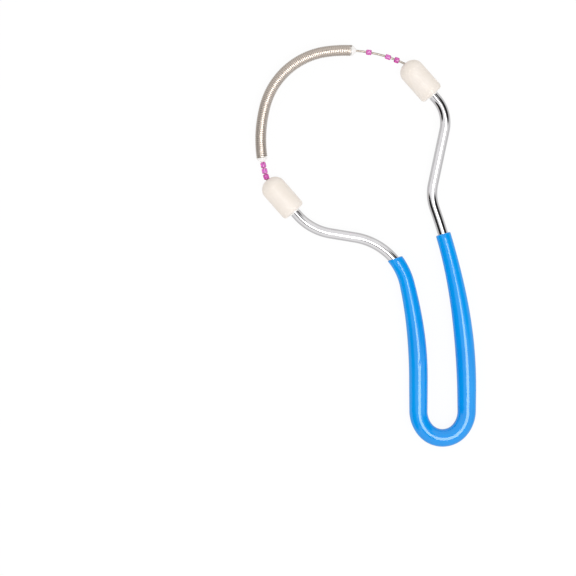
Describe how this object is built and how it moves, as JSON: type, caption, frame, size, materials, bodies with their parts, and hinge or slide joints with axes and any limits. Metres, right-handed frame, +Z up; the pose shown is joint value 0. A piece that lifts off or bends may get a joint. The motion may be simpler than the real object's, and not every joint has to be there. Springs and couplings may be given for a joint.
{
  "type": "facial hair removal spring",
  "caption": "Hand tool with a bowed coil spring held between the two capped arms of a bent chromed rod, whose return bend is a sleeved handle.",
  "frame": {"origin": "centre of the footprint, on the surface that the tool lies on", "axes": "+Y from the handle's return bend towards the spring, +Z up out of the surface, +X towards the arm that reaches further"},
  "size_m": [0.085, 0.1546, 0.0097],
  "materials": {
    "chromed_rod": "bright chrome plate",
    "blue_vinyl": "glossy soft vinyl",
    "cream_plastic": "satin moulded plastic",
    "spring_steel": "drawn spring wire, satin",
    "white_plastic": "satin moulded plastic",
    "bead_glass": "tinted translucent glass"
  },
  "bodies": {
    "root": {"frame_rod": "chromed_rod", "handle_sleeve": "blue_vinyl", "left_cap": "cream_plastic", "right_cap": "cream_plastic", "core_wire": "spring_steel", "coil_spring": "spring_steel", "left_plug": "white_plastic", "right_plug": "white_plastic", "packed_bead_1": "bead_glass", "packed_bead_2": "bead_glass", "packed_bead_3": "bead_glass", "loose_bead_1": "bead_glass", "loose_bead_2": "bead_glass", "loose_bead_3": "bead_glass"}
  },
  "joints": []
}
